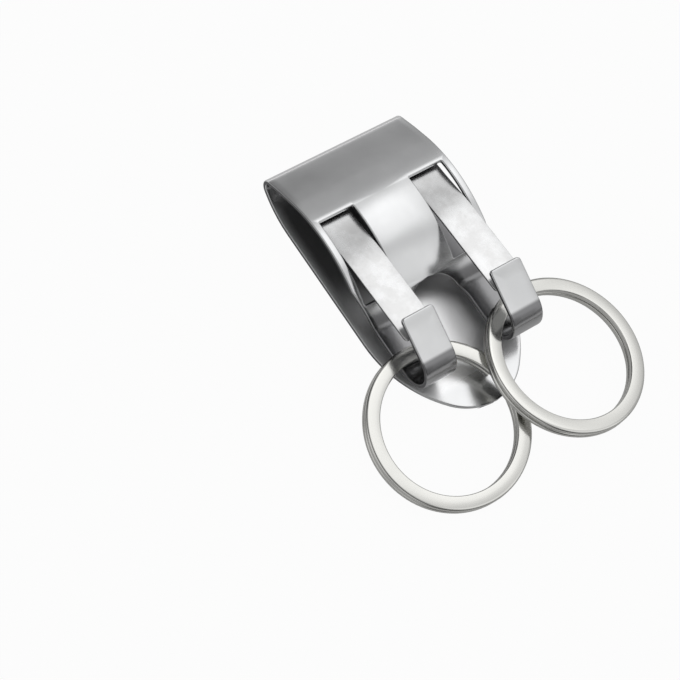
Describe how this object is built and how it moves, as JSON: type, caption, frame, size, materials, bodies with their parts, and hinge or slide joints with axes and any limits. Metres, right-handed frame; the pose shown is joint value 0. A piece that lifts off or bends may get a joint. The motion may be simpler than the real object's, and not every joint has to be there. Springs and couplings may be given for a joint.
{
  "type": "belt key clip",
  "caption": "Bent steel belt clip whose windowed front ends in twin hooks with spring tongues, each hook holding a flat split ring.",
  "frame": {"origin": "on the back panel's outer face, on the clip's centre line, about midway along the flat panel", "axes": "+X across the clip along the belt, +Y along the clip towards the belt fold, +Z out of the back panel towards the windowed front"},
  "size_m": [0.0644, 0.0797, 0.0169],
  "materials": {
    "satin_steel": "satin, finely blasted",
    "spring_steel": "satin, finely brushed",
    "ring_nickel": "polished nickel plate"
  },
  "bodies": {
    "clip": {"clip_body": "satin_steel", "left_tongue_root": "spring_steel", "right_tongue_root": "spring_steel"},
    "left_gate": {"left_tongue": "spring_steel"},
    "right_gate": {"right_tongue": "spring_steel"},
    "left_key_ring": {"left_ring": "ring_nickel"},
    "right_key_ring": {"right_ring": "ring_nickel"}
  },
  "joints": [
    {"name": "left_tongue_press", "type": "hinge", "parent": "clip", "child": "left_gate", "pos_m": [0, 0.00767, 0.01073], "axis": [1, 0, 0], "range_deg": [0, 6], "stiffness_Nm_per_rad": 1.9},
    {"name": "right_tongue_press", "type": "hinge", "parent": "clip", "child": "right_gate", "pos_m": [0, 0.00767, 0.01073], "axis": [1, 0, 0], "range_deg": [0, 6], "stiffness_Nm_per_rad": 1.9},
    {"name": "left_ring_swing", "type": "hinge", "parent": "clip", "child": "left_key_ring", "pos_m": [-0.0134, -0.0242, 0.0078], "axis": [-1, 0, 0], "range_deg": [0, 85]},
    {"name": "right_ring_swing", "type": "hinge", "parent": "clip", "child": "right_key_ring", "pos_m": [0.0161, -0.0242, 0.0078], "axis": [-1, 0, 0], "range_deg": [0, 85]}
  ],
  "couplings": [
    {"joint": "right_ring_swing", "follows": "left_ring_swing", "ratio": 1}
  ]
}
